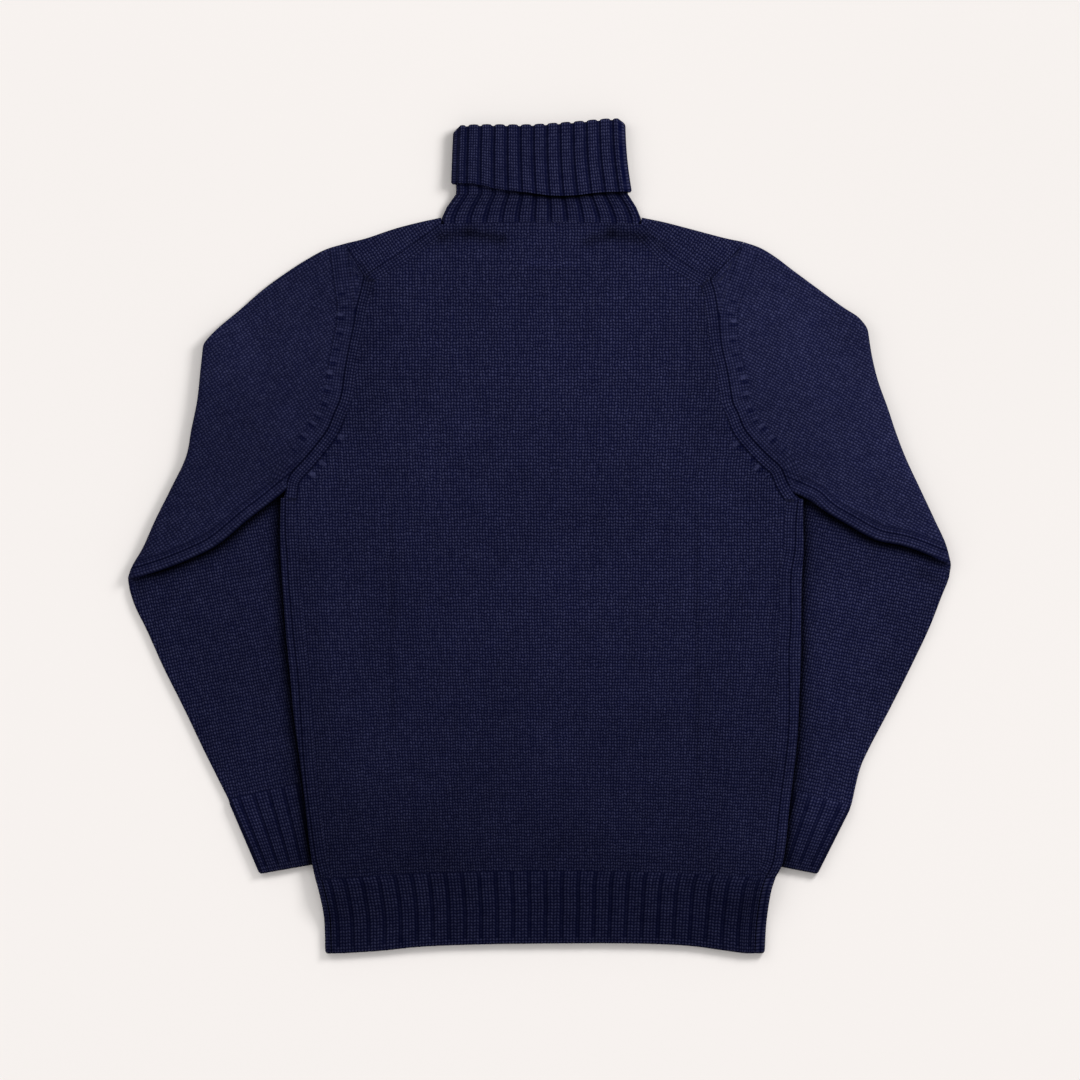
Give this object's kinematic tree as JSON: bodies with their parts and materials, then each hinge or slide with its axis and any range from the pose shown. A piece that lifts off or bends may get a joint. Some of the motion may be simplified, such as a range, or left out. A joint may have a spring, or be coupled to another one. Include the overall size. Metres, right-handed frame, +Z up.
{
  "type": "turtleneck sweater",
  "caption": "Turtleneck sweater in plain knit, laid flat back up with sleeves folded under; ribbed roll collar, cuffs and hem.",
  "frame": {"origin": "middle of the garment's outline, on the surface it lies on", "axes": "+Z up, away from the surface, out of the sweater's back; +Y from the hem towards the collar; +X towards the wearer's right sleeve"},
  "size_m": [0.7987, 0.8093, 0.0146],
  "materials": {
    "plain_knit": "navy wool in plain knit, matt with a soft nap",
    "rib_knit": "navy wool in ribbed knit, matt with a soft nap"
  },
  "bodies": {
    "root": {"back_panel": "plain_knit", "front_panel": "plain_knit", "sleeve_left": "plain_knit", "sleeve_right": "plain_knit", "collar": "rib_knit", "cuff_left": "rib_knit", "cuff_right": "rib_knit", "hem_rib_back": "rib_knit", "hem_rib_front": "rib_knit"}
  },
  "joints": []
}
